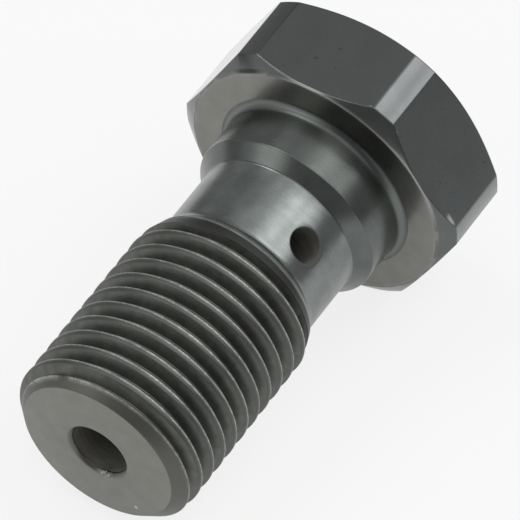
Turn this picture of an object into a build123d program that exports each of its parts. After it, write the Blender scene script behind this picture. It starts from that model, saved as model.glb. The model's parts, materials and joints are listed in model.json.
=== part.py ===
from build123d import *
import os
from math import atan2, cos, radians, sin, tan

# A hollow fluid bolt (banjo bolt) with an M10 x 1 thread, turned in one piece from
# hexagon bar. Sizes are in millimetres. Stations are measured along the bolt's axis,
# from the flat end of the thread towards the head.

# Shank, from the end of the thread to the head
shank_length = 19.1
thread_dia = 9.85
end_bevel = 0.775
runout_length = 1.1
runout_angle = 20.0
waist_bevel_angle = 35.0
waist_depth = 0.675
waist_length = 3.85
collar_rise = 0.025
collar_length = 2.55
collar_rim_fillet = 0.1
neck_fillet = 0.4

# Hexagon head. The insets are measured inwards from the flats.
hexagon_sides = 6
across_flats = 14.0
head_height = 5.0
corner_relief = 0.33
bearing_inset = 0.05
bearing_bevel_angle = 35.0
crown_inset = 0.35
crown_bevel_angle = 30.0

# Fluid passages
bore_dia = 3.0
bore_edge_break = 0.17
bore_overrun = 0.3
drill_tip_angle = 118.0
cross_hole_dia = 1.7
cross_hole_to_head = 5.45
cross_hole_turn = 47.0

# Radii. The waist is cut below the thread's crests, and the collar stands just proud.
thread_radius = thread_dia / 2
end_face_radius = thread_radius - end_bevel
waist_radius = thread_radius - waist_depth
collar_radius = thread_radius + collar_rise
runout_radius = thread_radius - runout_length * tan(radians(runout_angle))
bore_radius = bore_dia / 2
cross_hole_radius = cross_hole_dia / 2
flat_radius = across_flats / 2
half_side_angle = 180 / hexagon_sides
corner_radius = flat_radius / cos(radians(half_side_angle)) - corner_relief
bearing_radius = flat_radius - bearing_inset
crown_radius = flat_radius - crown_inset

# Stations. The collar's shoulder, the end of the thread and the bore's mouth are
# bevelled at 45 degrees, so those bevels are as long as they are deep.
collar_start = shank_length - collar_length
waist_end = collar_start - (collar_radius - waist_radius)
waist_start = waist_end - waist_length
runout_end = waist_start - (runout_radius - waist_radius) / tan(radians(waist_bevel_angle))
runout_start = runout_end - runout_length
bearing_bevel_rise = tan(radians(bearing_bevel_angle))
bearing_corner = shank_length + (corner_radius - bearing_radius) * bearing_bevel_rise
bearing_flat = shank_length + (flat_radius - bearing_radius) * bearing_bevel_rise
crown = shank_length + head_height
crown_corner = crown - (corner_radius - crown_radius) * tan(radians(crown_bevel_angle))
cross_hole_station = shank_length - cross_hole_to_head
bore_end = cross_hole_station + cross_hole_radius + bore_overrun
drill_tip = bore_end + bore_radius / tan(radians(drill_tip_angle / 2))

# The bolt lies on one flat of its head and on the rim of its thread, so its axis
# leans up towards the head. The origin is on the floor, under the bolt's middle.
lean = atan2(flat_radius - thread_radius, bearing_flat - end_bevel)
axis_direction = Vector(cos(lean), 0, sin(lean))
upward = Vector(-sin(lean), 0, cos(lean))
sideways = Vector(0, -1, 0)
middle_offset = (crown * cos(lean) + (crown_radius - end_face_radius) * sin(lean)) / 2
end_centre = Vector(-middle_offset, 0, thread_radius * cos(lean) - end_bevel * sin(lean))
bearing_centre = end_centre + axis_direction * shank_length
collar_rim_point = end_centre + axis_direction * collar_start + upward * collar_radius

bolt_axis = Axis(end_centre, axis_direction)
section_plane = Plane(origin=end_centre, x_dir=axis_direction, z_dir=sideways)
bearing_plane = Plane(origin=bearing_centre, x_dir=upward, z_dir=axis_direction)

# The cross hole goes straight through both walls of the waist. Its turn about the
# axis is measured from the flat that faces up.
hole_turn = radians(cross_hole_turn)
hole_direction = upward * cos(hole_turn) + sideways * sin(hole_turn)
hole_centre = end_centre + axis_direction * cross_hole_station
cross_hole_plane = Plane(origin=hole_centre, x_dir=axis_direction, z_dir=hole_direction)

with BuildPart() as banjo_bolt:
    # Head: a hexagon whose corners, bearing side and crown are turned to one profile
    with BuildSketch(bearing_plane):
        RegularPolygon(flat_radius, hexagon_sides, major_radius=False, rotation=half_side_angle)
    extrude(amount=head_height)
    with BuildSketch(section_plane):
        with BuildLine():
            Polyline(
                (shank_length, 0),
                (shank_length, bearing_radius),
                (bearing_corner, corner_radius),
                (crown_corner, corner_radius),
                (crown, crown_radius),
                (crown, 0),
                close=True,
            )
        make_face()
    revolve(axis=bolt_axis, mode=Mode.INTERSECT)

    # Shank: thread at its crest diameter, run-out, waist and collar
    with BuildSketch(section_plane):
        with BuildLine():
            Polyline(
                (0, 0),
                (0, end_face_radius),
                (end_bevel, thread_radius),
                (runout_start, thread_radius),
                (runout_end, runout_radius),
                (waist_start, waist_radius),
                (waist_end, waist_radius),
                (collar_start, collar_radius),
                (shank_length, collar_radius),
                (shank_length, 0),
                close=True,
            )
        make_face()
    revolve(axis=bolt_axis)
    neck_edge = banjo_bolt.edges().filter_by(GeomType.CIRCLE).sort_by_distance(bearing_centre)[0]
    fillet(neck_edge, neck_fillet)
    collar_rim = banjo_bolt.edges().filter_by(GeomType.CIRCLE).sort_by_distance(collar_rim_point)[0]
    fillet(collar_rim, collar_rim_fillet)

    # Blind axial bore, which ends in the cone of its drill
    with BuildSketch(section_plane):
        with BuildLine():
            Polyline(
                (0, 0),
                (0, bore_radius + bore_edge_break),
                (bore_edge_break, bore_radius),
                (bore_end, bore_radius),
                (drill_tip, 0),
                close=True,
            )
        make_face()
    revolve(axis=bolt_axis, mode=Mode.SUBTRACT)

    with Locations(cross_hole_plane):
        Hole(cross_hole_radius)

banjo_bolt.part.label = "banjo_bolt"
os.makedirs("parts", exist_ok=True)
export_step(banjo_bolt.part, "parts/banjo_bolt.step")
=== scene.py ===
import json
import math
import bpy
from mathutils import Matrix, Vector


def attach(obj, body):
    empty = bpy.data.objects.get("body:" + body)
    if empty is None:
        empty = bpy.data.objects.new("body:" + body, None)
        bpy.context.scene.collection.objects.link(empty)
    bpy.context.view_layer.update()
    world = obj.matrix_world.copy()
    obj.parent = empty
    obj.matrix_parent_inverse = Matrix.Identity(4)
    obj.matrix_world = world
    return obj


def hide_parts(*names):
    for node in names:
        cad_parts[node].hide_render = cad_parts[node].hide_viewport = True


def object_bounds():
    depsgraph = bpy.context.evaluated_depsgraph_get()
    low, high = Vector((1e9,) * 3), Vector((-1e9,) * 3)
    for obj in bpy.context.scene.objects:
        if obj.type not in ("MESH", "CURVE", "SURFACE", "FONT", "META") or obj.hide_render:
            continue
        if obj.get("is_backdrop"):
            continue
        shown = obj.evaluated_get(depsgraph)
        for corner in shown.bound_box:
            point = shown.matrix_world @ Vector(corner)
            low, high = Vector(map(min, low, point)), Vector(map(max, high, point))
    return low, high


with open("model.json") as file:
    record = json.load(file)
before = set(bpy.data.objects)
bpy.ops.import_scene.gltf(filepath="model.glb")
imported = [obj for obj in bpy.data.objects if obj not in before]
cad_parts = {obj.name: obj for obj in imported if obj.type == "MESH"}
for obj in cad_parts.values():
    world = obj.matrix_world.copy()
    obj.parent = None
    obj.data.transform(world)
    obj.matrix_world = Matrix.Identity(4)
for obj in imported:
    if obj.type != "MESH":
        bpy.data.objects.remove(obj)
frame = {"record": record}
cad_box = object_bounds()

MM = 0.001

# The bolt's profile, in millimetres. Stations run along its axis from the flat end of
# the thread, and turns are angles about the axis, in degrees from the flat that faces up.
MOUNTS = {mount["name"]: mount for mount in frame["record"]["mounts"]}
THREAD_RADIUS = MOUNTS["thread"]["dims"]["r_mm"]
COLLAR_RADIUS = MOUNTS["collar"]["dims"]["r_mm"]
BORE_RADIUS = MOUNTS["fluid_bore"]["dims"]["r_mm"]
HOLE_RADIUS = MOUNTS["cross_hole"]["dims"]["r_mm"]
SHANK_LENGTH = 19.1
HEAD_HEIGHT = 5.0
CROWN = SHANK_LENGTH + HEAD_HEIGHT
FLAT_RADIUS = 7.0
CORNER_RADIUS = 7.75
BEARING_RADIUS = 6.95
CROWN_RADIUS = 6.65
BEARING_BEVEL = math.radians(35)
CROWN_BEVEL = math.radians(30)
NECK_FILLET = 0.4
FILLET_START = SHANK_LENGTH - NECK_FILLET
COLLAR_START = 16.55
WAIST_RADIUS = 4.25
WAIST_START = 12.0
WAIST_END = COLLAR_START - (COLLAR_RADIUS - WAIST_RADIUS)
END_BEVEL = 0.775
END_RADIUS = THREAD_RADIUS - END_BEVEL
RUNOUT_START = 10.508
RUNOUT_END = 11.608
RUNOUT_SLOPE = math.tan(math.radians(20))
RUNOUT_RADIUS = THREAD_RADIUS - (RUNOUT_END - RUNOUT_START) * RUNOUT_SLOPE
HOLE_STATION = 13.65
BORE_END = 14.8
DRILL_HALF_ANGLE = math.radians(59)
DRILL_TIP = BORE_END + BORE_RADIUS / math.tan(DRILL_HALF_ANGLE)
BORE_BREAK = 0.17

# The thread: right-handed, 60 degree flanks, with small rounds at crest and root
PITCH = 1.0
FIRST_CREST = 0.15
FLANK = math.radians(60)
ROOT_RADIUS = 4.37
CREST_HALF = 0.14
CREST_ROUND = 0.13
CREST_STEPS = 4
ROOT_ROUND = 0.06
ROOT_STEPS = 3
GROOVE_LIFT = 10.8
GROOVE_END = 11.56

# How the thread's rows are fitted to its edges
SEARCH_STEP = 0.01
BISECTIONS = 20
KINK_MARGIN = 0.002
CLOSEST_ROWS = 0.004

# Small rounds on the other edges, with the steps that make them
MOUTH_ROUND, MOUTH_STEPS = 0.12, 4
END_ROUND, END_LIFT = 0.03, 0.01
SHOULDER_ROUND, SHOULDER_STEPS = 0.6, 5
TOOL_ROUND, RIM_ROUND, COLLAR_STEPS = 0.2, 0.12, 3
FILLET_STEPS = 8
BEARING_ROUND, CROWN_ROUND, EDGE_STEPS = 0.11, 0.12, 4
SHORTEST_BEVEL = 0.003

# The cross hole's rim: a small round, with more taken off on the side towards DEBURR_SIDE
HOLE_ROUND = 0.06
DEBURR = 0.16
DEBURR_SIDE = math.radians(100)
RIM_STEPS = 4

# The grids: columns of the bore and of a sixth of the outer surface (a corner strip, two
# short blends at its edges and a flat), and the patches that join the grids to the cross hole
BORE_COLUMNS = 88
BORE_QUARTER = BORE_COLUMNS // 4
BORE_ROWS = (10.0, 5.0, 1.0)
BORE_PATCH_HALF = 1.12
WAIST_PATCH_HALF = 1.34
PATCH_RINGS = 4
END_RING_WIDTH = 0.45
STRIP_HALF = 30 - math.degrees(math.acos(FLAT_RADIUS / CORNER_RADIUS))
BLEND_HALF = 0.5
STRIP_COLUMNS, BLEND_COLUMNS, FLAT_COLUMNS = 4, 3, 30
WALL_ROW = 2 * EDGE_STEPS + 2
CROWN_RINGS = (4.5, 2.5, 0.8)
SHARP_ANGLE = math.radians(28)

# Small damage: nicks in the edge where the end bevel cuts the first thread, as (turn, half
# width in degrees, change of radius); a gap in that edge's wear, and the share of wear beside
# it; and a burr in the bore's mouth, with teeth BURR_TOOTH degrees apart
NICKS = ((-25, 3.0, -0.05), (24.5, 2.0, -0.06), (41, 1.5, -0.04), (46, 1.5, 0.03), (62, 2.0, -0.04))
EDGE_GAP = -24
EDGE_GAP_HALF = 5
EDGE_SPREAD = 0.35
BURR_TURN = 168
BURR_HALF = 13
BURR_REACH = 0.16
BURR_TOOTH = 8
BURR_TOOTH_DEPTH = 0.35

# Wear on the crests: how far down it reaches, and the stretch of the crest, towards the
# head, over which it grows to its full strength
CREST_WEAR_DEPTH = 0.11
CREST_WEAR_START = -0.02
CREST_WEAR_STRETCH = 0.10

# Finishes, as material indices on the mesh
WAIST, TURNED, FLATS, THREAD, FACED, BORED = range(6)


def bolt_matrix():
    """From bolt coordinates in millimetres (x along turn 0, z along the axis) to the frame."""
    axis = -Vector(MOUNTS["thread"]["axis"]).normalized()
    sideways = Vector((0, -1, 0))
    upward = sideways.cross(axis)
    bearing = Vector(MOUNTS["bearing_face"]["pos_m"])
    middle = Vector(MOUNTS["spanner_head"]["pos_m"])
    end = middle + axis * ((bearing - middle).dot(axis) - SHANK_LENGTH * MM)
    basis = Matrix((upward, sideways, axis)).transposed().to_4x4()
    return Matrix.Translation(end) @ basis @ Matrix.Scale(MM, 4)


def wrap(angle):
    """An angle in degrees, brought to between -180 and 180."""
    return (angle + 180) % 360 - 180


def arc_corner(before, corner, after, radius, steps):
    """The points of a round of that radius, in place of a corner of a flat outline."""
    a = (Vector(before) - Vector(corner)).normalized()
    b = (Vector(after) - Vector(corner)).normalized()
    half = a.angle(b) / 2
    centre = Vector(corner) + (a + b).normalized() * (radius / math.sin(half))
    start = Vector(corner) + a * (radius / math.tan(half)) - centre
    end = Vector(corner) + b * (radius / math.tan(half)) - centre
    turn = start.angle_signed(end)
    points = []
    for i in range(steps + 1):
        angle = -turn * i / steps
        c, s = math.cos(angle), math.sin(angle)
        points.append((centre.x + c * start.x - s * start.y, centre.y + s * start.x + c * start.y))
    return points


def rounded(outline):
    """The points of an outline of (radius, station) or, where a corner is made round, of
    (radius, station, round, steps)."""
    points = []
    for i, (r, z, *corner) in enumerate(outline):
        if corner:
            points += arc_corner(outline[i - 1][:2], (r, z), outline[i + 1][:2], *corner)
        else:
            points.append((r, z))
    return points


class Surface:
    """The vertices and faces of one closed mesh, in bolt coordinates."""

    def __init__(self):
        self.points = []
        self.faces = []
        self.finishes = []
        self.worn = {}

    def point(self, r, turn, z, wear=0.0):
        a = math.radians(turn)
        self.points.append((r * math.cos(a), r * math.sin(a), z))
        if wear:
            self.worn[len(self.points) - 1] = wear
        return len(self.points) - 1

    def ring(self, turns, radius, z):
        """A closed ring; radius and z are numbers, or lists with a value for each turn."""
        radii = radius if isinstance(radius, list) else [radius] * len(turns)
        stations = z if isinstance(z, list) else [z] * len(turns)
        return [self.point(r, t, s) for r, t, s in zip(radii, turns, stations)]

    def face(self, corners, finish):
        kept = [c for i, c in enumerate(corners) if c != corners[i - 1]]
        if len(set(kept)) > 2:
            self.faces.append(kept)
            self.finishes.append(finish)

    def band(self, ring_a, ring_b, finish, gaps=()):
        """Quads from ring_a to ring_b, apart from the columns of each gap, a (first, end)."""
        count = len(ring_a)
        for j in range(count):
            if any((j - first) % count < end - first for first, end in gaps):
                continue
            k = (j + 1) % count
            self.face([ring_a[j], ring_a[k], ring_b[k], ring_b[j]], finish)

    def grid(self, rings, finish, gaps=()):
        for ring_a, ring_b in zip(rings, rings[1:]):
            self.band(ring_a, ring_b, finish, gaps)

    def sweep(self, turns, last, outline, finish):
        """Bands from the last ring through an outline of (radius, station); gives the new last."""
        rings = [last] + [self.ring(turns, r, z) for r, z in outline]
        self.grid(rings, finish)
        return rings[-1]

    def fan(self, ring, tip, finish):
        for j in range(len(ring)):
            self.face([ring[j], ring[(j + 1) % len(ring)], tip], finish)

    def stitch(self, ring_a, turns_a, ring_b, turns_b, finish):
        """Triangles between two rings with different numbers of columns."""
        count_a, count_b = len(ring_a), len(ring_b)
        start = min(range(count_b), key=lambda n: abs(wrap(turns_b[n] - turns_a[0])))
        lead_a = [turns_a[n % count_a] + 360 * (n // count_a) - turns_a[0] for n in range(count_a + 1)]
        order_b = [(start + n) % count_b for n in range(count_b)]
        base = wrap(turns_b[start] - turns_a[0])
        lead_b = [(turns_b[n] - turns_b[start]) % 360 + base for n in order_b] + [360 + base]
        order_b.append(order_b[0])
        i = j = 0
        while i < count_a or j < count_b:
            if j == count_b or (i < count_a and lead_a[i + 1] <= lead_b[j + 1]):
                self.face([ring_a[i], ring_a[(i + 1) % count_a], ring_b[order_b[j]]], finish)
                i += 1
            else:
                self.face([ring_a[i % count_a], ring_b[order_b[j + 1]], ring_b[order_b[j]]], finish)
                j += 1

    def trim(self):
        """Drop the points that no face uses, which lie in the gaps for the cross hole."""
        used = sorted({i for face in self.faces for i in face})
        place = {old: new for new, old in enumerate(used)}
        self.points = [self.points[i] for i in used]
        self.faces = [[place[i] for i in face] for face in self.faces]
        self.worn = {place[i]: wear for i, wear in self.worn.items() if i in place}


def thread_profile():
    """Offsets from a crest and radii over one pitch, from root to root."""
    foot = CREST_HALF + (THREAD_RADIUS - ROOT_RADIUS) / math.tan(FLANK)
    points = rounded([
        (THREAD_RADIUS, 0.0),
        (THREAD_RADIUS, CREST_HALF, CREST_ROUND, CREST_STEPS),
        (ROOT_RADIUS, foot, ROOT_ROUND, ROOT_STEPS),
        (ROOT_RADIUS, PITCH / 2),
    ])
    crest_end = CREST_STEPS + 2
    middle = tuple((a + b) / 2 for a, b in zip(points[crest_end - 1], points[crest_end]))
    half = [(z, r) for r, z in points[:crest_end] + [middle] + points[crest_end:]]
    return [(-z, r) for z, r in reversed(half[1:])] + half[:-1]


def envelope(z):
    """The turned outline that cuts off the thread's crests at both ends."""
    stations = [0, END_BEVEL, RUNOUT_START, RUNOUT_END, WAIST_START]
    radii = [END_RADIUS, THREAD_RADIUS, THREAD_RADIUS, RUNOUT_RADIUS, WAIST_RADIUS]
    for i in range(1, len(stations)):
        if z <= stations[i]:
            share = (z - stations[i - 1]) / (stations[i] - stations[i - 1])
            return radii[i - 1] + share * (radii[i] - radii[i - 1])
    return WAIST_RADIUS


def crest_offset(z, turn):
    """How far a place lies from the nearest crest, along the axis."""
    return (z - FIRST_CREST - PITCH * turn / 360 + PITCH / 2) % PITCH - PITCH / 2


def groove_floor(z):
    """The groove's root, which runs out just before the waist."""
    share = (z - GROOVE_LIFT) / (GROOVE_END - GROOVE_LIFT)
    return ROOT_RADIUS + max(0.0, share) * (envelope(GROOVE_END) - ROOT_RADIUS)


def groove_radius(z, turn, profile):
    """The thread's own radius at a place, before the envelope cuts it."""
    s = crest_offset(z, turn)
    loop = profile + [(profile[0][0] + PITCH, profile[0][1])]
    for (s0, r0), (s1, r1) in zip(loop, loop[1:]):
        if s0 <= s <= s1:
            return max(groove_floor(z), r0 + (r1 - r0) * (s - s0) / (s1 - s0))
    return max(groove_floor(z), loop[-1][1])


def crossings(turn, profile, low, high):
    """Stations in a column where the envelope meets the thread's own surface."""

    def outside(z):
        return envelope(z) > groove_radius(z, turn, profile)

    found = []
    for i in range(int((high - low) / SEARCH_STEP)):
        a, b = low + i * SEARCH_STEP, low + (i + 1) * SEARCH_STEP
        if outside(a) != outside(b):
            for _ in range(BISECTIONS):
                middle = (a + b) / 2
                if outside(middle) == outside(a):
                    a = middle
                else:
                    b = middle
            found.append((a + b) / 2)
    return found


def thread_edges(turn, profile, low, high):
    """Stations of a column's edges: its crossings, and the envelope's kinks that no groove cuts."""
    edges = crossings(turn, profile, low, END_BEVEL) + crossings(turn, profile, RUNOUT_START, high)
    for kink in (END_BEVEL, RUNOUT_START, RUNOUT_END):
        if groove_radius(kink, turn, profile) >= envelope(kink) - KINK_MARGIN:
            edges.append(kink)
    return sorted(edges)


def thread_column(turn, profile, low, high):
    """The stations of a column's rows, which are helix lines moved to the edges they pass, and
    the rows that lie on an edge."""
    rows = len(profile)
    first = -2 * rows
    last = int((high / PITCH + 2) * rows)
    stations = {}
    for g in range(first, last):
        lap, k = divmod(g, rows)
        stations[g] = FIRST_CREST + PITCH * turn / 360 + lap * PITCH + profile[k][0]
    on_edge = [first]
    placed = low
    for edge in thread_edges(turn, profile, low, high):
        if edge - placed > CLOSEST_ROWS and high - edge > CLOSEST_ROWS:
            inside = [g for g in stations if low < stations[g] < high and g > on_edge[-1]]
            nearest = min(inside, key=lambda g: abs(stations[g] - edge))
            stations[nearest] = placed = edge
            on_edge.append(nearest)
    return stations, set(on_edge)


def nicked(turn):
    """The change of radius that a nick or a burr makes on the first thread's edge."""
    change = 0.0
    for place, half, depth in NICKS:
        change += depth * max(0.0, 1 - abs(wrap(turn - place)) / half)
    return change


def edge_wear(turn):
    """Wear along the first thread's edge, which has one gap."""
    return min(1.0, abs(wrap(turn - EDGE_GAP)) / EDGE_GAP_HALF) ** 2


def crest_wear(offset):
    """Wear on a crest: its side towards the head is polished brighter than its top."""
    return min(1.0, max(0.0, (offset - CREST_WEAR_START) / CREST_WEAR_STRETCH))


def thread_place(turn, z, profile, on_edge, beside_edge):
    """The radius and the wear at one place of the thread."""
    r = min(envelope(z), groove_radius(z, turn, profile))
    if z < END_BEVEL and on_edge:
        return r + nicked(turn), edge_wear(turn)
    if z < END_BEVEL and beside_edge:
        return r, EDGE_SPREAD * edge_wear(turn)
    if r > THREAD_RADIUS - CREST_WEAR_DEPTH:
        return r, crest_wear(crest_offset(z, turn))
    return r, 0.0


def add_thread(surface, turns, ring_low, low, ring_high, high):
    """The thread's grid, whose rows follow the helix, between two rings."""
    profile = thread_profile()
    grid = []
    for j, turn in enumerate(turns):
        stations, edges = thread_column(turn, profile, low, high)
        ids = {}
        for g, z in stations.items():
            if z <= low + CLOSEST_ROWS:
                ids[g] = ring_low[j]
            elif z >= high - CLOSEST_ROWS:
                ids[g] = ring_high[j]
            else:
                beside_edge = g - 1 in edges or g + 1 in edges
                r, wear = thread_place(turn, z, profile, g in edges, beside_edge)
                ids[g] = surface.point(r, turn, z, wear)
        grid.append(ids)
    for j in range(len(turns)):
        lap = len(profile) if j == len(turns) - 1 else 0
        here, there = grid[j], grid[(j + 1) % len(turns)]
        for g in here:
            if g + 1 in here and g + lap in there and g + lap + 1 in there:
                quad = [here[g], there[g + lap], there[g + lap + 1], here[g + 1]]
                surface.face(quad, THREAD)


def gap_loop(grid, turns, gap, centre_turn):
    """The border of a gap in a grid of (ring, station) rows, in step with the angle about the
    hole: its vertices, their places on the unrolled cylinder and the angles of the rim's points."""
    first, end = gap
    top, bottom = len(grid) - 1, 0
    cells = [(top, j) for j in range(first, end)]
    cells += [(i, end) for i in range(top, bottom, -1)]
    cells += [(bottom, j) for j in range(end, first, -1)]
    cells += [(i, first) for i in range(bottom, top)]
    angles = []
    for side, steps in enumerate((end - first, top - bottom, end - first, top - bottom)):
        angles += [math.radians(-45 + 90 * side + 90 * n / steps) for n in range(steps)]
    loop, flat = [], []
    for i, j in cells:
        ring, station = grid[i]
        loop.append(ring[j % len(turns)])
        away = math.radians(wrap(turns[j % len(turns)] - centre_turn))
        flat.append((away, station - HOLE_STATION))
    return {"loop": loop, "flat": flat, "angles": angles}


def wall_patch(surface, side, rim_radii, base, turn):
    """Rings on a cylinder of radius base, from a gap's border to the cross hole's rim."""
    rim = []
    for angle, radius in zip(side["angles"], rim_radii):
        rim.append((math.asin(radius * math.sin(angle) / base), radius * math.cos(angle)))
    rings = [side["loop"]]
    for n in range(1, PATCH_RINGS + 1):
        share = n / PATCH_RINGS
        ring = []
        for (a0, z0), (a1, z1) in zip(side["flat"], rim):
            away = math.degrees(a0 + (a1 - a0) * share)
            ring.append(surface.point(base, turn + away, HOLE_STATION + z0 + (z1 - z0) * share))
        rings.append(ring)
    return rings


def rim_ring(surface, angles, sizes, slope, turn):
    """The ring on the outer rim's round where it slopes by that angle."""
    ring = []
    for angle, size in zip(angles, sizes):
        radius = HOLE_RADIUS + size * (1 - math.sin(slope))
        y = radius * math.sin(angle)
        x = math.sqrt(WAIST_RADIUS ** 2 - y ** 2) - size * (1 - math.cos(slope))
        away = math.degrees(math.atan2(y, x))
        ring.append(surface.point(math.hypot(x, y), turn + away, HOLE_STATION + radius * math.cos(angle)))
    return ring


def add_hole(surface, outer, inner, turn):
    """One wall's cross hole: the waist's patch, the rim, the wall and the bore's patch."""
    angles = outer["angles"]
    sizes = [HOLE_ROUND + DEBURR * max(0.0, math.cos(a - DEBURR_SIDE)) ** 2 for a in angles]
    rings = wall_patch(surface, outer, [HOLE_RADIUS + size for size in sizes], WAIST_RADIUS, turn)
    for n in range(1, RIM_STEPS + 1):
        rings.append(rim_ring(surface, angles, sizes, math.pi / 2 * n / RIM_STEPS, turn))
    rings += wall_patch(surface, inner, [HOLE_RADIUS] * len(angles), BORE_RADIUS, turn)[::-1]
    for n, (ring_a, ring_b) in enumerate(zip(rings, rings[1:])):
        surface.band(ring_b, ring_a, WAIST if n < PATCH_RINGS else BORED)


def hole_turns():
    """The turns at which the cross hole's two mouths lie."""
    local = bolt_matrix().inverted().to_3x3() @ Vector(MOUNTS["cross_hole"]["axis"])
    turn = math.degrees(math.atan2(local.y, local.x))
    return turn, turn + 180


def bore_gaps():
    """The columns of the bore's grid that each mouth of the cross hole takes."""
    firsts = (BORE_COLUMNS - BORE_QUARTER // 2, BORE_COLUMNS // 2 - BORE_QUARTER // 2)
    return [(first, first + BORE_QUARTER) for first in firsts]


def waist_gaps(turns, mouths):
    """The columns of the waist's grid that each mouth of the cross hole takes."""
    half_angle = math.degrees(math.asin(WAIST_PATCH_HALF / WAIST_RADIUS))
    gaps = []
    for mouth in mouths:
        first = min(range(len(turns)), key=lambda j: abs(wrap(turns[j] - mouth + half_angle)))
        end = first
        while wrap(turns[end % len(turns)] - mouth) < half_angle:
            end += 1
        gaps.append((first, end))
    return gaps


def add_bore(surface, turns):
    """The blind bore, from the drill's tip past the cross hole; gives the rows round its mouths."""
    tip = surface.point(0, 0, DRILL_TIP)
    ring = surface.ring(turns, BORE_RADIUS, BORE_END)
    surface.fan(ring[::-1], tip, BORED)
    rows = range(BORE_QUARTER + 1)
    stations = [HOLE_STATION + BORE_PATCH_HALF * (1 - 2 * i / BORE_QUARTER) for i in rows]
    rings = [surface.ring(turns, BORE_RADIUS, z) for z in stations]
    surface.band(ring, rings[0], BORED)
    surface.grid(rings, BORED, bore_gaps())
    return list(zip(rings, stations))[::-1]


def burr(turn, z):
    """How far the ragged burr in the bore's mouth stands in from the edge."""
    away = wrap(turn - BURR_TURN)
    teeth = 1 - BURR_TOOTH_DEPTH * (1 - math.cos(2 * math.pi * away / BURR_TOOTH))
    rise = max(0.0, 1 - abs(away) / BURR_HALF) * teeth
    return BURR_REACH * rise * max(0.0, 1 - abs(z - BORE_BREAK / 2) / BORE_BREAK)


def add_mouth(surface, turns, last):
    """The bore's wall below the cross hole, its broken edge with the burr, and a ring beyond."""
    last = surface.sweep(turns, last, [(BORE_RADIUS, z) for z in BORE_ROWS], BORED)
    edge = rounded([
        (BORE_RADIUS, BORE_ROWS[-1]),
        (BORE_RADIUS, BORE_BREAK, MOUTH_ROUND, MOUTH_STEPS),
        (BORE_RADIUS + BORE_BREAK, 0, MOUTH_ROUND, MOUTH_STEPS),
        (THREAD_RADIUS, 0),
    ])[1:-1]
    finish = BORED
    for r, z in edge:
        ring = surface.ring(turns, [r - burr(turn, z) for turn in turns], z)
        surface.worn.update((i, burr(turn, z) / BURR_REACH) for i, turn in zip(ring, turns))
        surface.band(last, ring, finish)
        finish = FACED
        last = ring
    return surface.sweep(turns, last, [(BORE_RADIUS + END_RING_WIDTH, 0.0)], FACED)


def add_end_face(surface, mouth_turns, mouth_ring, turns):
    """The flat end of the thread, from the bore's mouth to the end bevel."""
    ring = surface.ring(turns, END_RADIUS - END_ROUND, 0.0)
    surface.stitch(mouth_ring, mouth_turns, ring, turns, FACED)
    return surface.sweep(turns, ring, [(END_RADIUS, END_LIFT)], FACED)


def add_threaded_end(surface, turns, end_ring):
    """The thread and the shoulder behind it, down to the waist."""
    shoulder = rounded([
        (RUNOUT_RADIUS, RUNOUT_END),
        (WAIST_RADIUS, WAIST_START, SHOULDER_ROUND, SHOULDER_STEPS),
        (WAIST_RADIUS, HOLE_STATION),
    ])[1:-1]
    start_radius, start = shoulder[0]
    ring = surface.ring(turns, start_radius, start)
    add_thread(surface, turns, end_ring, END_LIFT, ring, start)
    return surface.sweep(turns, ring, shoulder[1:], WAIST)


def add_waist(surface, turns, last, bore_turns, bore_rows):
    """The waist, with both walls of the cross hole in gaps of its grid."""
    mouths = hole_turns()
    gaps = waist_gaps(turns, mouths)
    rows = BORE_COLUMNS // 2 - (gaps[0][1] - gaps[0][0])
    stations = [HOLE_STATION + WAIST_PATCH_HALF * (2 * i / rows - 1) for i in range(rows + 1)]
    rings = [surface.ring(turns, WAIST_RADIUS, z) for z in stations]
    surface.band(last, rings[0], WAIST)
    surface.grid(rings, WAIST, gaps)
    waist_rows = list(zip(rings, stations))
    for mouth, gap, bore_gap in zip(mouths, gaps, bore_gaps()):
        outer = gap_loop(waist_rows, turns, gap, mouth)
        inner = gap_loop(bore_rows, bore_turns, bore_gap, mouth)
        add_hole(surface, outer, inner, mouth)
    return rings[-1]


def add_collar(surface, turns, last):
    """The taper, the collar and the neck fillet, up to the bearing face. The waist's finish
    goes one step into the round at the taper's foot."""
    outline = rounded([
        (WAIST_RADIUS, HOLE_STATION),
        (WAIST_RADIUS, WAIST_END, TOOL_ROUND, COLLAR_STEPS),
        (COLLAR_RADIUS, COLLAR_START, RIM_ROUND, COLLAR_STEPS),
        (COLLAR_RADIUS, SHANK_LENGTH, NECK_FILLET, FILLET_STEPS),
        (BEARING_RADIUS, SHANK_LENGTH),
    ])[1:-1]
    last = surface.sweep(turns, last, outline[:2], WAIST)
    return surface.sweep(turns, last, outline[2:], TURNED)


def spread(low, high, count):
    return [low + (high - low) * i / count for i in range(count)]


def outer_turns():
    """The columns of the outer surface, sixth by sixth."""
    inner, outer = STRIP_HALF - BLEND_HALF, STRIP_HALF + BLEND_HALF
    sixth = spread(-outer, -inner, BLEND_COLUMNS) + spread(-inner, inner, STRIP_COLUMNS)
    sixth += spread(inner, outer, BLEND_COLUMNS) + spread(outer, 60 - outer, FLAT_COLUMNS)
    return [corner + turn for corner in range(30, 360, 60) for turn in sixth]


def head_radius(turn):
    """The head's outer radius at a turn, with the edges of the corner strips softened."""
    off_corner = abs(wrap(turn % 60 - 30))
    if off_corner >= STRIP_HALF + BLEND_HALF:
        return FLAT_RADIUS / math.cos(math.radians(30 - off_corner))
    if off_corner <= STRIP_HALF - BLEND_HALF:
        return CORNER_RADIUS
    across = (off_corner - STRIP_HALF + BLEND_HALF) / (2 * BLEND_HALF)
    edge = FLAT_RADIUS / math.cos(math.radians(30 - STRIP_HALF - BLEND_HALF))
    return CORNER_RADIUS - (CORNER_RADIUS - edge) * across ** 2


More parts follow.
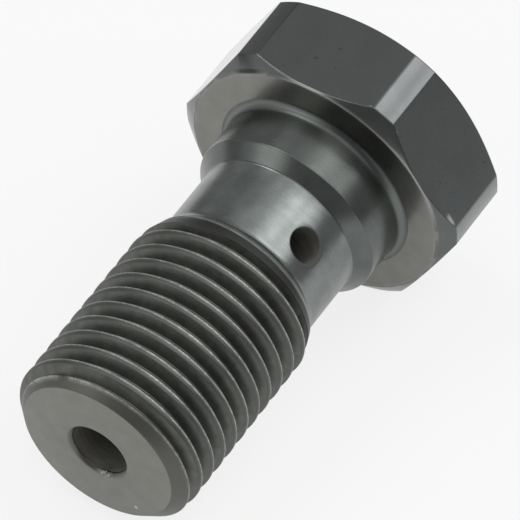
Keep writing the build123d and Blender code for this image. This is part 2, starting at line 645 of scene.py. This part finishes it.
def head_edge(side, face_radius, bevel, size):
    """Radii and depths round one edge of the head, from its flat face to its wall: the face, a
    bevel and the wall with both corners rounded, or one round where the bevel is too short."""
    normal = (math.sin(bevel), -math.cos(bevel))
    reach = normal[0] * face_radius
    first_r = (reach - size - normal[1] * size) / normal[0]
    last_depth = (reach - size - normal[0] * (side - size)) / normal[1]
    first = (min(first_r, side - size - SHORTEST_BEVEL), size)
    last = (side - size, max(last_depth, size + SHORTEST_BEVEL))
    points = []
    for centre, start, end in ((first, 0.0, bevel), (last, bevel, math.pi / 2)):
        for i in range(EDGE_STEPS + 1):
            a = start + (end - start) * i / EDGE_STEPS
            points.append((centre[0] + size * math.sin(a), centre[1] - size * math.cos(a)))
    return points


def head_outline(turn):
    """The head's outline at a turn, from the bearing face to the crown, in (radius, station)."""
    side = head_radius(turn)
    low = head_edge(side, BEARING_RADIUS, BEARING_BEVEL, BEARING_ROUND)
    high = head_edge(side, CROWN_RADIUS, CROWN_BEVEL, CROWN_ROUND)
    outline = [(r, SHANK_LENGTH + depth) for r, depth in low]
    return outline + [(r, CROWN - depth) for r, depth in reversed(high)]


def add_head(surface, turns, last):
    """The head, where each column has its own outline."""
    finishes = {0: FACED, WALL_ROW: FLATS}
    for row, places in enumerate(zip(*[head_outline(turn) for turn in turns])):
        radii, stations = [r for r, z in places], [z for r, z in places]
        ring = surface.ring(turns, radii, stations)
        surface.band(last, ring, finishes.get(row, TURNED))
        last = ring
    last = surface.sweep(turns, last, [(r, CROWN) for r in CROWN_RINGS], FACED)
    surface.fan(last, surface.point(0, 0, CROWN), FACED)


def build_bolt():
    """The closed surface, from the drill's tip out through the mouth and up to the crown."""
    surface = Surface()
    turns = outer_turns()
    bore_turns = [hole_turns()[0] + 360 * (i - 0.5) / BORE_COLUMNS for i in range(BORE_COLUMNS)]
    bore_rows = add_bore(surface, bore_turns)
    last = add_mouth(surface, bore_turns, bore_rows[0][0])
    last = add_end_face(surface, bore_turns, last, turns)
    last = add_threaded_end(surface, turns, last)
    last = add_waist(surface, turns, last, bore_turns, bore_rows)
    last = add_collar(surface, turns, last)
    add_head(surface, turns, last)
    surface.trim()
    return surface


# Patterns: detail of the noises, and how much of a mark or a streak has its full colour
GRAIN_DETAIL = 2.0
CLOUD_DETAIL = 3.0
LINE_ROUGHNESS = 0.6
MARK_CORE = 0.5
STREAK_CORE = 0.4


def put(tree, socket, value):
    """Link a socket to another node's output, or set it to a plain value."""
    if isinstance(value, bpy.types.NodeSocket):
        tree.links.new(value, socket)
    else:
        socket.default_value = value


def add_node(tree, kind, *values):
    """A new node, with those values in its first sockets."""
    node = tree.nodes.new("ShaderNode" + kind)
    for socket, value in zip(node.inputs, values):
        put(tree, socket, value)
    return node


class Nodes:
    """A material's node tree, with the bolt's own coordinates in millimetres at hand."""

    def __init__(self, name):
        self.material = bpy.data.materials.new(name)
        self.material.use_nodes = True
        self.tree = self.material.node_tree
        self.shader = self.tree.nodes["Principled BSDF"]
        location, rotation, scale = bolt_matrix().decompose()
        place = self.node("TexCoord")
        mapping = self.node("Mapping", place.outputs["Object"], location, rotation.to_euler(), scale)
        mapping.vector_type = "TEXTURE"
        self.point = mapping.outputs["Vector"]
        self.parts = self.node("SeparateXYZ", self.point).outputs
        self.station = self.parts["Z"]
        across = self.vector("MULTIPLY", self.point, (1, 1, 0))
        self.radius = self.vector("LENGTH", across)
        self.heading = self.vector("NORMALIZE", across)
        wear = self.node("Attribute")
        wear.attribute_name = "wear"
        self.wear = wear.outputs["Fac"]

    def node(self, kind, *values):
        return add_node(self.tree, kind, *values)

    def math(self, operation, *values):
        node = self.node("Math", *values)
        node.operation = operation
        return node.outputs[0]

    def vector(self, operation, *values):
        node = self.node("VectorMath", *values)
        node.operation = operation
        return node.outputs["Value" if operation in ("LENGTH", "DISTANCE", "DOT_PRODUCT") else "Vector"]

    def span(self, value, low, high, start=0.0, end=1.0):
        """The value mapped from low..high to start..end, held within it."""
        return self.node("MapRange", value, low, high, start, end).outputs[0]

    def distance(self, value, middle):
        return self.math("ABSOLUTE", self.math("SUBTRACT", value, middle))

    def facing(self, turn):
        """The cosine of the angle round the axis from that turn."""
        a = math.radians(turn)
        return self.vector("DOT_PRODUCT", self.heading, (math.cos(a), math.sin(a), 0))

    def noise(self, vector, detail, roughness=0.5):
        """Noise at a vector measured in its own cells, from 0 to 1."""
        node = self.node("TexNoise", vector)
        node.inputs["Scale"].default_value = 1.0
        node.inputs["Detail"].default_value = detail
        node.inputs["Roughness"].default_value = roughness
        return node.outputs["Fac"]

    def grain(self, cell, detail=GRAIN_DETAIL):
        """Even grain with cells of that many millimetres."""
        return self.noise(self.vector("DIVIDE", self.point, (cell, cell, cell)), detail)

    def rings(self, spacing, wander):
        """Turned lines: noise that changes quickly along the profile and slowly round the axis."""
        along = self.math("DIVIDE", self.math("ADD", self.radius, self.station), spacing)
        line = self.node("CombineXYZ", along).outputs[0]
        around = self.vector("MULTIPLY", self.heading, (wander, wander, 0))
        around = self.node("Mapping", around, (0, 0, 0), (0, math.pi / 2, 0)).outputs[0]
        return self.noise(self.vector("ADD", line, around), CLOUD_DETAIL, LINE_ROUGHNESS)

    def mark(self, turn, r, z, size):
        """A round mark about a place on the bolt."""
        a = math.radians(turn)
        away = self.vector("DISTANCE", self.point, (r * math.cos(a), r * math.sin(a), z))
        return self.span(away, size * MARK_CORE, size, 1.0, 0.0)

    def streak(self, turn, half_turn, r, half_r, z, half_z):
        """A soft streak that runs round the axis."""
        about = self.math("ARCTAN2", self.parts["Y"], self.parts["X"])
        share = 1.0
        for value, middle, half in ((about, math.radians(turn), math.radians(half_turn)),
                                    (self.radius, r, half_r), (self.station, z, half_z)):
            near = self.span(self.distance(value, middle), half * STREAK_CORE, half, 1.0, 0.0)
            share = self.math("MULTIPLY", near, share)
        return share

    def mix(self, share, colour_a, colour_b):
        node = self.node("Mix")
        node.data_type = "RGBA"
        sockets = {socket.identifier: socket for socket in node.inputs}
        put(self.tree, sockets["Factor_Float"], share)
        for name, colour in (("A_Color", colour_a), ("B_Color", colour_b)):
            put(self.tree, sockets[name], (*colour, 1) if isinstance(colour, tuple) else colour)
        return next(output for output in node.outputs if output.identifier == "Result_Color")

    def bump(self, height, depth, after=None):
        """A bump of that depth in millimetres for a height from 0 to 1."""
        node = self.node("Bump")
        node.inputs["Strength"].default_value = 1.0
        node.inputs["Distance"].default_value = depth * MM
        put(self.tree, node.inputs["Height"], height)
        if after is not None:
            put(self.tree, node.inputs["Normal"], after)
        return node.outputs["Normal"]

    def finish(self, colour, roughness, normal, metallic=1.0):
        for name, value in (("Base Color", colour), ("Roughness", roughness), ("Normal", normal),
                            ("Metallic", metallic)):
            put(self.tree, self.shader.inputs[name], value)
        return self.material


# Colours of the oxide on each surface, of painted shade at the cross hole's rims, and of the steel where
# it is rubbed
WAIST_OXIDE = (0.202, 0.220, 0.212)
TURNED_OXIDE = (0.128, 0.139, 0.132)
FLAT_OXIDE = (0.089, 0.096, 0.096)
THREAD_OXIDE = (0.128, 0.133, 0.121)
CREST_OXIDE = (0.105, 0.111, 0.103)
CHAMFER_OXIDE = (0.125, 0.128, 0.116)
FACED_OXIDE = (0.216, 0.216, 0.198)
BORE_OXIDE = (0.125, 0.122, 0.106)
# Painted shade at the cross hole's rims
PAINTED_RIM_SHADE = (0.060, 0.064, 0.060)
BARE_STEEL = (0.500, 0.510, 0.490)
# The edge steel is also the colour of a painted highlight along the bearing edge
EDGE_STEEL_AND_HIGHLIGHT = (0.320, 0.320, 0.310)
RING_STEEL = (0.360, 0.370, 0.360)

# Spans, here and below, are (low, high) or (low, high, value at low, value at high). NOISE is
# what a noise mostly keeps between.
NOISE = (0.3, 0.7)


def tone(colour, factor):
    return tuple(c * factor for c in colour)


def clouded(n, noise, oxide, unevenness):
    """An oxide's colour, darker and lighter by that share with a noise."""
    return n.mix(n.span(noise, *NOISE), tone(oxide, 1 - unevenness), tone(oxide, 1 + unevenness))


def marked(n, colour, marks, mark_colour):
    """Small marks, each a (turn, radius, station, size)."""
    for place in marks:
        colour = n.mix(n.mark(*place), colour, mark_colour)
    return colour


RUBBED_PATCHES = (0.35, 0.60, 0.50, 0.90)
RAGGED_CELL = 0.10
RAGGED = (0.38, 0.62, 0.60, 1.25)


def rubbed(n, colour, cloud):
    """Edges where the oxide is worn down to the steel, unevenly."""
    share = n.math("MULTIPLY", n.math("POWER", n.wear, 2.0), n.span(cloud, *RUBBED_PATCHES))
    share = n.math("MULTIPLY", share, n.span(n.grain(RAGGED_CELL), *RAGGED))
    return n.mix(n.math("MINIMUM", share, 1.0), colour, BARE_STEEL)


# Wear round the bearing face, by the distance from its edge, which wanders with the cloud. It is
# worn in patches all round, and a painted highlight lies on the side that faces the turn below.
# The dash is a painted dark reflection on that edge.
PAINTED_SIDE_TURN = 35
HIGHLIGHT_SIDE = (0.62, 0.80)
WORN_PATCHES = (0.48, 0.62, 0.15, 0.60)
EDGE_WEAR_AND_HIGHLIGHT = (0.08, 0.26, 1.0, 0.0)
EDGE_WANDER = 0.08
PAINTED_DARK_REFLECTION = (-30.5, 9.0, 7.05, 0.13, 19.13, 0.2)


def edge_wear_and_highlight(n, colour, cloud):
    """The edge round the bearing face: worn steel in patches, and a painted highlight on one side."""
    above = n.math("MAXIMUM", n.math("SUBTRACT", n.station, SHANK_LENGTH), 0.0)
    away = n.math("ADD", n.distance(n.radius, BEARING_RADIUS), above)
    away = n.math("ADD", away, n.math("MULTIPLY", cloud, EDGE_WANDER))
    # Worn patches all round, and a painted highlight on the side that faces the turn above
    rub_and_highlight = n.math("MAXIMUM", n.span(n.facing(PAINTED_SIDE_TURN), *HIGHLIGHT_SIDE), n.span(cloud, *WORN_PATCHES))
    return n.mix(n.math("MULTIPLY", n.span(away, *EDGE_WEAR_AND_HIGHLIGHT), rub_and_highlight), colour, EDGE_STEEL_AND_HIGHLIGHT)


# Turned surfaces. The neck fillet is rougher, with painted shade on one side and a painted
# highlight elsewhere, and the head's bevels are smoother.
TURNED_LINE, TURNED_WANDER = 0.09, 1.2
TURNED_CLOUD = 0.9
LINE_SHARE = 0.25
TURNED_ROUGHNESS = (*NOISE, 0.28, 0.25)
RIPPLE_CELL = 0.40
FILLET_RISE = (FILLET_START - 0.05, FILLET_START + 0.10)
FILLET_FALL = (SHANK_LENGTH - 0.06, SHANK_LENGTH - 0.01, 1.0, 0.0)
FILLET_HIGHLIGHT_TONE, FILLET_SHADE_TONE = 1.25, 0.65
FILLET_SHADE_SIDE = (0.85, 0.96)
FILLET_ROUGHNESS = (FILLET_START - 0.10, FILLET_START, 0.0, 0.12)
BEVEL_ROUGHNESS = (SHANK_LENGTH, SHANK_LENGTH + 0.05, 0.0, -0.20)
DARK_REFLECTION_TONE = 0.45


def turned_lines(n, oxide, unevenness, line_depth, ripple_depth):
    """Turned lines, a faint cloudiness and a slight ripple of the surface: the cloud, the
    colour, the roughness and the normal."""
    lines = n.rings(TURNED_LINE, TURNED_WANDER)
    cloud = n.grain(TURNED_CLOUD, CLOUD_DETAIL)
    share = n.math("ADD", n.math("MULTIPLY", lines, LINE_SHARE), n.math("MULTIPLY", cloud, 1 - LINE_SHARE))
    colour = clouded(n, share, oxide, unevenness)
    normal = n.bump(n.grain(RIPPLE_CELL), ripple_depth, n.bump(lines, line_depth))
    return cloud, colour, n.span(lines, *TURNED_ROUGHNESS), normal


def waist_finish():
    """The waist: turned lines only."""
    n = Nodes("waist_oxide")
    look = turned_lines(n, WAIST_OXIDE, unevenness=0.18, line_depth=0.0004, ripple_depth=0.0028)
    return n.finish(*look[1:])


def collar_finish():
    """The taper, the collar, the neck fillet and the head's bevels."""
    n = Nodes("turned_oxide")
    cloud, colour, roughness, normal = turned_lines(
        n, TURNED_OXIDE, unevenness=0.12, line_depth=0.0005, ripple_depth=0.0020)
    fillet = n.math("MULTIPLY", n.span(n.station, *FILLET_RISE), n.span(n.station, *FILLET_FALL))
    # Painted shade on one side of the neck fillet and a painted highlight on the rest of it
    fillet_highlight_and_shade = n.mix(n.span(n.facing(PAINTED_SIDE_TURN), *FILLET_SHADE_SIDE),
                          tone(TURNED_OXIDE, FILLET_HIGHLIGHT_TONE), tone(TURNED_OXIDE, FILLET_SHADE_TONE))
    colour = n.mix(fillet, colour, fillet_highlight_and_shade)
    colour = edge_wear_and_highlight(n, colour, cloud)
    # A painted dark reflection on the bearing edge
    colour = n.mix(n.streak(*PAINTED_DARK_REFLECTION), colour, tone(TURNED_OXIDE, DARK_REFLECTION_TONE))
    for change in (FILLET_ROUGHNESS, BEVEL_ROUGHNESS):
        roughness = n.math("ADD", roughness, n.span(n.station, *change))
    return n.finish(colour, roughness, normal)


# The milled flats, under a thin film of oil, with the marks that the photo shows
FLAT_CLOUD, FLAT_CLOUD_DETAIL = 1.6, 4.0
FLAT_ROUGHNESS = (*NOISE, 0.30, 0.25)
FLAT_GRAIN, FLAT_GRAIN_DEPTH = 0.12, 0.0007
OIL_FILM = 1.0
OIL_ROUGHNESS = 0.12
# Painted light on the flat at this turn, which makes it lighter than the others
PAINTED_LIGHT_FLAT = 60
PAINTED_LIGHT_FLAT_SIDE = (0.900, 0.906, 0.0, 0.8)
PAINTED_LIGHT_FLAT_TONE = 1.85
SPECK_CELL, SPECK_DETAIL = 0.28, 1.0
SPECKS = (0.72, 0.78)
SPECK_TONE = 0.65
DARK_SPECKS = ((-5.9, 7.04, 20.90, 0.11), (-0.2, 7.00, 21.96, 0.09))
DARK_SPECK_TONE = 0.45
LIGHT_MARKS = ((24.2, 7.70, 19.58, 0.16), (37.3, 7.59, 19.55, 0.13))
LIGHT_DASH = (82.0, 3.5, 7.52, 0.20, 19.66, 0.16)
LIGHT_DASH_TONE = 1.3


def flat_finish():
    """Smooth and a little cloudy, with sparse dark specks; painted light makes one flat lighter."""
    n = Nodes("flat_oxide")
    cloud = n.grain(FLAT_CLOUD, FLAT_CLOUD_DETAIL)
    colour = clouded(n, cloud, FLAT_OXIDE, unevenness=0.10)
    # Painted light that makes one flat lighter
    painted_light_flat = n.span(n.facing(PAINTED_LIGHT_FLAT), *PAINTED_LIGHT_FLAT_SIDE)
    colour = n.mix(painted_light_flat, colour, tone(FLAT_OXIDE, PAINTED_LIGHT_FLAT_TONE))
    specks = n.span(n.grain(SPECK_CELL, SPECK_DETAIL), *SPECKS)
    colour = n.mix(specks, colour, tone(FLAT_OXIDE, SPECK_TONE))
    colour = marked(n, colour, DARK_SPECKS, tone(FLAT_OXIDE, DARK_SPECK_TONE))
    colour = marked(n, colour, LIGHT_MARKS, BARE_STEEL)
    colour = n.mix(n.streak(*LIGHT_DASH), colour, tone(BARE_STEEL, LIGHT_DASH_TONE))
    n.shader.inputs["Coat Weight"].default_value = OIL_FILM
    n.shader.inputs["Coat Roughness"].default_value = OIL_ROUGHNESS
    return n.finish(colour, n.span(cloud, *FLAT_ROUGHNESS), n.bump(n.grain(FLAT_GRAIN), FLAT_GRAIN_DEPTH))


# The thread: dark crests, a lighter end bevel, and behind the last groove a dark run-out
# cone that ends in a bright ring
THREAD_LINE, THREAD_WANDER, THREAD_LINE_DEPTH = 0.05, 2.5, 0.0006
THREAD_CLOUD = 0.5
THREAD_GRAIN, THREAD_GRAIN_DEPTH = 0.07, 0.0010
THREAD_ROUGHNESS = (0.0, 1.0, 0.44, 0.46)
WEAR_ROUGHNESS = 0.10
CREST_REACH = (THREAD_RADIUS - 0.07, THREAD_RADIUS - 0.02)
CREST_WANDER = 0.06
CHAMFER_REACH = (END_RADIUS - 0.13, END_RADIUS - 0.03)
SHOULDER_REACH = (RUNOUT_END, RUNOUT_END + 0.1)
CONE_RADIUS = THREAD_RADIUS + RUNOUT_SLOPE * RUNOUT_START
CONE_DEPTH = (0.02, 0.07, 1.0, 0.0)
CONE_START = (RUNOUT_START + 0.2, RUNOUT_START + 0.5)
CONE_TONE = 0.55
RING_STATION = RUNOUT_END + 0.03
RING_WIDTH = (0.07, 0.18, 1.0, 0.0)
RING_PATCHES = (0.3, 0.6, 0.7, 1.0)


def runout_tones(n, colour, cloud):
    """The dark run-out cone and its bright ring; the cone is found by its radius and station."""
    under_cone = n.math("SUBTRACT", CONE_RADIUS, n.math("MULTIPLY_ADD", n.station, RUNOUT_SLOPE, n.radius))
    cone = n.math("MULTIPLY", n.span(under_cone, *CONE_DEPTH), n.span(n.station, *CONE_START))
    colour = n.mix(cone, colour, tone(CREST_OXIDE, CONE_TONE))
    ring = n.span(n.distance(n.station, RING_STATION), *RING_WIDTH)
    return n.mix(n.math("MULTIPLY", ring, n.span(cloud, *RING_PATCHES)), colour, RING_STEEL)


def thread_finish():
    """Flanks, crests, end bevel and run-out, with the edges rubbed bright."""
    n = Nodes("thread_oxide")
    lines = n.rings(THREAD_LINE, THREAD_WANDER)
    cloud = n.grain(THREAD_CLOUD, CLOUD_DETAIL)
    colour = clouded(n, cloud, THREAD_OXIDE, unevenness=0.16)
    height = n.math("ADD", n.radius, n.math("MULTIPLY", n.math("SUBTRACT", cloud, 0.5), CREST_WANDER))
    crest = n.span(height, *CREST_REACH)
    colour = n.mix(crest, colour, CREST_OXIDE)
    chamfer = n.span(n.math("SUBTRACT", n.radius, n.station), *CHAMFER_REACH)
    colour = n.mix(chamfer, colour, CHAMFER_OXIDE)
    colour = n.mix(n.span(n.station, *SHOULDER_REACH), colour, WAIST_OXIDE)
    colour = runout_tones(n, colour, cloud)
    colour = rubbed(n, colour, cloud)
    roughness = n.math("MULTIPLY_ADD", n.wear, WEAR_ROUGHNESS, n.span(crest, *THREAD_ROUGHNESS))
    normal = n.bump(n.grain(THREAD_GRAIN), THREAD_GRAIN_DEPTH, n.bump(lines, THREAD_LINE_DEPTH))
    return n.finish(colour, roughness, normal)


# Faced surfaces: the thread's end, the bearing face and the crown. The mouth of the bore has
# painted shade, with a few bright marks on its burr.
FACED_LINE, FACED_WANDER, FACED_LINE_DEPTH = 0.07, 0.8, 0.0008
FACED_CLOUD = 1.0
FACED_GRAIN, FACED_GRAIN_DEPTH = 0.08, 0.0006
FACED_ROUGHNESS = (9.0, 10.0, 0.34, 0.23)
FACED_LINE_ROUGHNESS = (*NOISE, 0.02, -0.02)
FACED_DARK_REFLECTION_TONE = 0.3
MOUTH_REACH = (BORE_RADIUS + 0.25, BORE_RADIUS)
MOUTH_DEPTH = (1.0, 2.0, 1.0, 0.0)
MOUTH_SHADE_TONE = 0.4
END_MARK = (146.5, 3.58, 0.0, 0.13)
BURR_MARKS = ((163.0, 1.60, 0.03, 0.11), (170.0, 1.52, 0.10, 0.13), (176.0, 1.60, 0.04, 0.09))
BURR_MARK_TONE = 0.6


def faced_finish():
    """Fine concentric lines; the bearing face is smoother than the thread's end."""
    n = Nodes("faced_oxide")
    lines = n.rings(FACED_LINE, FACED_WANDER)
    cloud = n.grain(FACED_CLOUD, CLOUD_DETAIL)
    colour = clouded(n, cloud, FACED_OXIDE, unevenness=0.07)
    colour = edge_wear_and_highlight(n, colour, cloud)
    # A painted dark reflection on the bearing edge
    colour = n.mix(n.streak(*PAINTED_DARK_REFLECTION), colour, tone(FACED_OXIDE, FACED_DARK_REFLECTION_TONE))
    # Painted shade at the bore's mouth
    mouth = n.math("MULTIPLY", n.span(n.radius, *MOUTH_REACH), n.span(n.station, *MOUTH_DEPTH))
    colour = n.mix(mouth, colour, tone(FACED_OXIDE, MOUTH_SHADE_TONE))
    colour = rubbed(n, colour, cloud)
    colour = marked(n, colour, (END_MARK,), BARE_STEEL)
    colour = marked(n, colour, BURR_MARKS, tone(BARE_STEEL, BURR_MARK_TONE))
    roughness = n.math("ADD", n.span(n.station, *FACED_ROUGHNESS), n.span(lines, *FACED_LINE_ROUGHNESS))
    normal = n.bump(n.grain(FACED_GRAIN), FACED_GRAIN_DEPTH, n.bump(lines, FACED_LINE_DEPTH))
    return n.finish(colour, roughness, normal)


BORED_LINE, BORED_WANDER, BORED_LINE_DEPTH = 0.12, 2.0, 0.0050
BORED_ROUGHNESS = (*NOISE, 0.75, 0.65)
RIM_REACH = (WAIST_RADIUS - 0.3, WAIST_RADIUS - 0.05)


def bored_finish():
    """Drilled walls, rough and dull, with painted shade at the cross hole's rims."""
    n = Nodes("bored_oxide")
    lines = n.rings(BORED_LINE, BORED_WANDER)
    colour = clouded(n, lines, BORE_OXIDE, unevenness=0.20)
    # Painted shade at the cross hole's rims
    colour = n.mix(n.span(n.radius, *RIM_REACH), colour, PAINTED_RIM_SHADE)
    roughness = n.span(lines, *BORED_ROUGHNESS)
    return n.finish(colour, roughness, n.bump(lines, BORED_LINE_DEPTH), metallic=0.0)


def make_bolt():
    """The bolt as one mesh, with its finishes in the order of their indices."""
    surface = build_bolt()
    mesh = bpy.data.meshes.new("bolt")
    mesh.from_pydata(surface.points, [], surface.faces)
    mesh.polygons.foreach_set("material_index", surface.finishes)
    wear = mesh.attributes.new("wear", "FLOAT", "POINT")
    wear.data.foreach_set("value", [surface.worn.get(i, 0.0) for i in range(len(surface.points))])
    mesh.transform(bolt_matrix())
    mesh.polygons.foreach_set("use_smooth", [True] * len(mesh.polygons))
    mesh.set_sharp_from_angle(angle=SHARP_ANGLE)
    mesh.update()
    bolt = bpy.data.objects.new("bolt", mesh)
    bpy.context.scene.collection.objects.link(bolt)
    weighted = bolt.modifiers.new("weighted", "WEIGHTED_NORMAL")
    weighted.keep_sharp = True
    for finish in (waist_finish, collar_finish, flat_finish, thread_finish, faced_finish, bored_finish):
        mesh.materials.append(finish())
    return bolt


# The floor, in metres, and the paper white that the camera sees in place of it. SHADOW_SHARE
# of what the camera sees is the floor's own shading, which holds the bolt's shadow, and
# GLOSS_PAPER is the share of paper in reflections.
FLOOR_RADIUS = 0.08
FLOOR_SIDES = 96
FLOOR_ALBEDO = 0.90
PAPER_WHITE = 0.955
SHADOW_SHARE = 0.14
GLOSS_PAPER = 0.56


def grey(level):
    return (level, level, level, 1)


def show_paper(tree, plain, paper, output, seen_share, gloss_share):
    """Lay paper over a plain shader, by those shares for camera rays and for glossy rays."""
    path = add_node(tree, "LightPath").outputs
    seen = add_node(tree, "Math", path["Is Camera Ray"], seen_share)
    seen.operation = "MULTIPLY"
    share = add_node(tree, "Math", path["Is Glossy Ray"], gloss_share, seen.outputs[0])
    share.operation = "MULTIPLY_ADD"
    mix = add_node(tree, "MixShader", share.outputs[0], plain.outputs[0], paper.outputs[0])
    tree.links.new(mix.outputs[0], tree.nodes[output].inputs["Surface"])


def make_floor():
    """A pale floor, which the camera sees as paper with a faint shadow."""
    mesh = bpy.data.meshes.new("floor")
    angles = [2 * math.pi * i / FLOOR_SIDES for i in range(FLOOR_SIDES)]
    rim = [(FLOOR_RADIUS * math.cos(a), FLOOR_RADIUS * math.sin(a), 0) for a in angles]
    mesh.from_pydata(rim, [], [tuple(range(FLOOR_SIDES))])
    floor = bpy.data.objects.new("floor", mesh)
    bpy.context.scene.collection.objects.link(floor)
    material = bpy.data.materials.new("floor")
    material.use_nodes = True
    tree = material.node_tree
    shader = tree.nodes["Principled BSDF"]
    shader.inputs["Base Color"].default_value = grey(FLOOR_ALBEDO)
    shader.inputs["Roughness"].default_value = 1.0
    shader.inputs["Specular IOR Level"].default_value = 0.0
    paper = add_node(tree, "Emission", grey(PAPER_WHITE))
    show_paper(tree, shader, paper, "Material Output", 1 - SHADOW_SHARE, GLOSS_PAPER)
    mesh.materials.append(material)
    floor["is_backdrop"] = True


def direction(azimuth, elevation):
    """The unit vector at an azimuth, in degrees from -Y towards +X, and an elevation."""
    a, e = math.radians(azimuth), math.radians(elevation)
    return Vector((math.sin(a) * math.cos(e), -math.cos(a) * math.cos(e), math.sin(e)))


# The camera, in millimetres and degrees; only its clip distances are in metres
CAMERA_AZIMUTH = -58.186
CAMERA_ELEVATION = 45.979
CAMERA_ROLL = math.radians(1.274)
CAMERA_DISTANCE = 334.92
CAMERA_TARGET = (1.036, -0.620, 6.846)
CAMERA_LENS = 483.6
CAMERA_SENSOR = 36
CAMERA_CLIP = (0.01, 10)


def make_camera():
    data = bpy.data.cameras.new("camera")
    data.lens = CAMERA_LENS
    data.sensor_width = CAMERA_SENSOR
    data.clip_start, data.clip_end = CAMERA_CLIP
    camera = bpy.data.objects.new("camera", data)
    bpy.context.scene.collection.objects.link(camera)
    back = direction(CAMERA_AZIMUTH, CAMERA_ELEVATION)
    camera.location = (Vector(CAMERA_TARGET) + back * CAMERA_DISTANCE) * MM
    level = back.to_track_quat("Z", "Y")
    camera.rotation_mode = "QUATERNION"
    camera.rotation_quaternion = level @ Matrix.Rotation(CAMERA_ROLL, 3, "Z").to_quaternion()
    bpy.context.scene.camera = camera


# Soft lights: azimuth, elevation, half-angle seen from the bolt, brightness. They stand at
# LIGHT_DISTANCE in metres, and AMBIENT is what the world gives from everywhere else.
LIGHTS = {
    "key": (55, 43, 16, 1.8),
    "key_top": (60, 58, 12, 1.05),
    "key_low": (36, 36, 10, 1.55),
    "right": (95, 56, 14, 0.56),
    "overhead": (340, 68, 24, 0.87),
    "top": (0, 88, 40, 0.25),
    "top_left": (300, 55, 15, 0.4),
    "left": (235, 30, 15, 1.0),
    "back": (185, 60, 15, 2.35),
    "front": (0, 38, 14, 0.85),
    "low_back": (180, 25, 28, 0.20),
    "low_left": (235, 12, 24, 0.47),
    "low_right": (90, 12, 28, 0.90),
}
LIGHT_DISTANCE = 1.2
AMBIENT = 0.285


def make_light(name, azimuth, elevation, half_angle, brightness):
    """A disk of that radiance; its power is the radiance times pi times its area."""
    radius = LIGHT_DISTANCE * math.tan(math.radians(half_angle))
    data = bpy.data.lights.new(name, "AREA")
    data.shape = "DISK"
    data.size = 2 * radius
    data.energy = brightness * (math.pi * radius) ** 2
    lamp = bpy.data.objects.new(name, data)
    bpy.context.scene.collection.objects.link(lamp)
    towards = direction(azimuth, elevation)
    lamp.location = towards * LIGHT_DISTANCE
    lamp.rotation_mode = "QUATERNION"
    lamp.rotation_quaternion = towards.to_track_quat("Z", "Y")
    lamp.visible_camera = False


def make_world():
    """A world that is paper white to the camera and dim to everything else."""
    world = bpy.data.worlds.new("world")
    bpy.context.scene.world = world
    world.use_nodes = True
    tree = world.node_tree
    dim = tree.nodes["Background"]
    dim.inputs["Color"].default_value = grey(AMBIENT)
    paper = add_node(tree, "Background", grey(PAPER_WHITE))
    show_paper(tree, dim, paper, "World Output", 1.0, 0.0)


bolt = make_bolt()
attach(bolt, "root")
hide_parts("banjo_bolt")
make_floor()
make_camera()
for name, values in LIGHTS.items():
    make_light(name, *values)
make_world()
bpy.context.scene.view_settings.view_transform = "Standard"

visual_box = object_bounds()
[[list(corner) for corner in box] for box in (cad_box, visual_box)]
